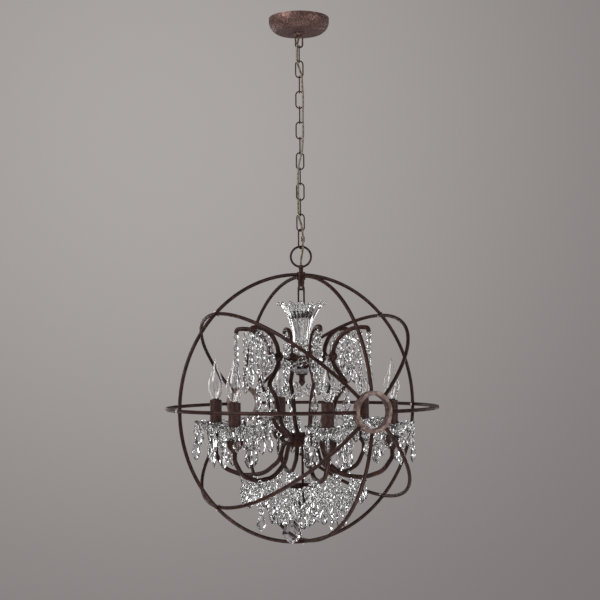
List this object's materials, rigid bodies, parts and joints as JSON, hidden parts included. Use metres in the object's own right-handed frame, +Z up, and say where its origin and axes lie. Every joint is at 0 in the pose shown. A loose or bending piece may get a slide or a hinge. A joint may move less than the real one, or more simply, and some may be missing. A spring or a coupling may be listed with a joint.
{
  "type": "orb chandelier",
  "caption": "Crystal chandelier with candle bulbs hanging in a spherical cage of rust-brown steel rings, on an oval-link chain with a woven cord from a round ceiling canopy.",
  "frame": {"origin": "middle of the canopy's open face, on the ceiling", "axes": "+Z up into the ceiling, the lamp hangs along -Z; the cage's front hub faces -Y and its back hub faces +Y"},
  "size_m": [0.6276, 0.6186, 1.2079],
  "materials": {
    "rust_metal": "aged dark rust brown, speckled, satin",
    "hub_metal": "rust brown rubbed paler on its flat face",
    "rivet_metal": "rust brown with bright worn heads",
    "chain_metal": "dark bronze, satin",
    "sleeve_metal": "rust brown, mottled, satin",
    "crystal": "clear cut crystal",
    "lamp_glass": "clear thin glass",
    "lamp_brass": "plain brass",
    "lamp_plastic": "dark moulded plastic",
    "zinc_steel": "zinc plated",
    "cord_cover": "clear gold-tinted cover"
  },
  "bodies": {
    "canopy": {"canopy_cup": "rust_metal", "mounting_bracket": "zinc_steel", "earth_screw": "zinc_steel", "threaded_nipple": "zinc_steel", "nipple_nuts": "zinc_steel", "terminal_block": "lamp_plastic", "canopy_collar": "rust_metal", "canopy_loop": "rust_metal", "supply_cord": "cord_cover"},
    "link_01": {"chain_link_01": "chain_metal"},
    "link_02": {"chain_link_02": "chain_metal"},
    "link_03": {"chain_link_03": "chain_metal"},
    "link_04": {"chain_link_04": "chain_metal"},
    "link_05": {"chain_link_05": "chain_metal"},
    "link_06": {"chain_link_06": "chain_metal"},
    "link_07": {"chain_link_07": "chain_metal"},
    "link_08": {"chain_link_08": "chain_metal"},
    "link_09": {"chain_link_09": "chain_metal"},
    "link_10": {"chain_link_10": "chain_metal"},
    "link_11": {"chain_link_11": "chain_metal"},
    "link_12": {"chain_link_12": "chain_metal"},
    "quick": {"quick_link": "chain_metal", "quick_link_nut": "chain_metal"},
    "orb": {"top_ring": "chain_metal", "top_collar": "rust_metal", "meridian_ring": "rust_metal", "vertical_ring": "rust_metal", "rising_ring": "rust_metal", "falling_ring": "rust_metal", "equator_ring": "rust_metal", "front_hub": "hub_metal", "back_hub": "hub_metal", "crossing_rivets": "rivet_metal", "orb_stem": "rust_metal", "clevis_pin": "rivet_metal"},
    "hanger": {"hanger_link": "rust_metal"},
    "chandelier": {"arm_hub": "rust_metal", "basket_disc": "rust_metal", "basket_garlands": "crystal", "basket_rod": "rust_metal", "bead_bowl": "rust_metal", "bottom_drop": "crystal", "bottom_finial": "rust_metal", "bulb_bases": "lamp_brass", "bulb_glasses": "lamp_glass", "candle_arms": "rust_metal", "candle_sleeves": "sleeve_metal", "centre_rod": "rust_metal", "crown_disc": "rust_metal", "drip_cups": "rust_metal", "glass_ball": "crystal", "glass_dish": "crystal", "glass_pans": "crystal", "glass_vase": "crystal", "lamp_sockets": "lamp_plastic", "pan_pendants": "crystal", "scroll_bars": "rust_metal", "scroll_strings": "crystal", "upper_finial": "rust_metal", "waist_strings": "crystal"}
  },
  "joints": [
    {"name": "link_01_swing", "type": "hinge", "parent": "canopy", "child": "link_01", "pos_m": [0, 0, -0.067], "axis": [0.8738, -0.4863, 0], "range_deg": [-30, 30]},
    {"name": "link_02_swing", "type": "hinge", "parent": "link_01", "child": "link_02", "pos_m": [0, 0, -0.1021], "axis": [0.4863, 0.8738, 0], "range_deg": [-30, 30]},
    {"name": "link_03_swing", "type": "hinge", "parent": "link_02", "child": "link_03", "pos_m": [0, 0, -0.1377], "axis": [-0.8738, 0.4863, 0], "range_deg": [-30, 30]},
    {"name": "link_04_swing", "type": "hinge", "parent": "link_03", "child": "link_04", "pos_m": [0, 0, -0.1733], "axis": [-0.4863, -0.8738, 0], "range_deg": [-30, 30]},
    {"name": "link_05_swing", "type": "hinge", "parent": "link_04", "child": "link_05", "pos_m": [0, 0, -0.2089], "axis": [0.8738, -0.4863, 0], "range_deg": [-30, 30]},
    {"name": "link_06_swing", "type": "hinge", "parent": "link_05", "child": "link_06", "pos_m": [0, 0, -0.2445], "axis": [0.4863, 0.8738, 0], "range_deg": [-30, 30], "deforming": ["supply_cord"]},
    {"name": "link_07_swing", "type": "hinge", "parent": "link_06", "child": "link_07", "pos_m": [0, 0, -0.2801], "axis": [-0.8738, 0.4863, 0], "range_deg": [-30, 30]},
    {"name": "link_08_swing", "type": "hinge", "parent": "link_07", "child": "link_08", "pos_m": [0, 0, -0.3157], "axis": [-0.4863, -0.8738, 0], "range_deg": [-30, 30]},
    {"name": "link_09_swing", "type": "hinge", "parent": "link_08", "child": "link_09", "pos_m": [0, 0, -0.3513], "axis": [0.8738, -0.4863, 0], "range_deg": [-30, 30]},
    {"name": "link_10_swing", "type": "hinge", "parent": "link_09", "child": "link_10", "pos_m": [0, 0, -0.3869], "axis": [0.4863, 0.8738, 0], "range_deg": [-30, 30]},
    {"name": "link_11_swing", "type": "hinge", "parent": "link_10", "child": "link_11", "pos_m": [0, 0, -0.4225], "axis": [-0.8738, 0.4863, 0], "range_deg": [-30, 30]},
    {"name": "link_12_swing", "type": "hinge", "parent": "link_11", "child": "link_12", "pos_m": [0, 0, -0.4581], "axis": [-0.4863, -0.8738, 0], "range_deg": [-30, 30]},
    {"name": "quick_link_swing", "type": "hinge", "parent": "link_12", "child": "quick", "pos_m": [0, 0, -0.4937], "axis": [0.8738, -0.4863, 0], "range_deg": [-30, 30]},
    {"name": "orb_swing", "type": "hinge", "parent": "quick", "child": "orb", "pos_m": [0, 0, -0.53415], "axis": [0.8996, 0.4368, 0], "range_deg": [-20, 20]},
    {"name": "hanger_swing", "type": "hinge", "parent": "orb", "child": "hanger", "pos_m": [0, 0, -0.6241], "axis": [0.4863, 0.8738, 0], "range_deg": [-2.5, 2.5]},
    {"name": "chandelier_swing", "type": "hinge", "parent": "hanger", "child": "chandelier", "pos_m": [0, 0, -0.6655], "axis": [0.8738, -0.4863, 0], "range_deg": [-2.5, 2.5]}
  ]
}
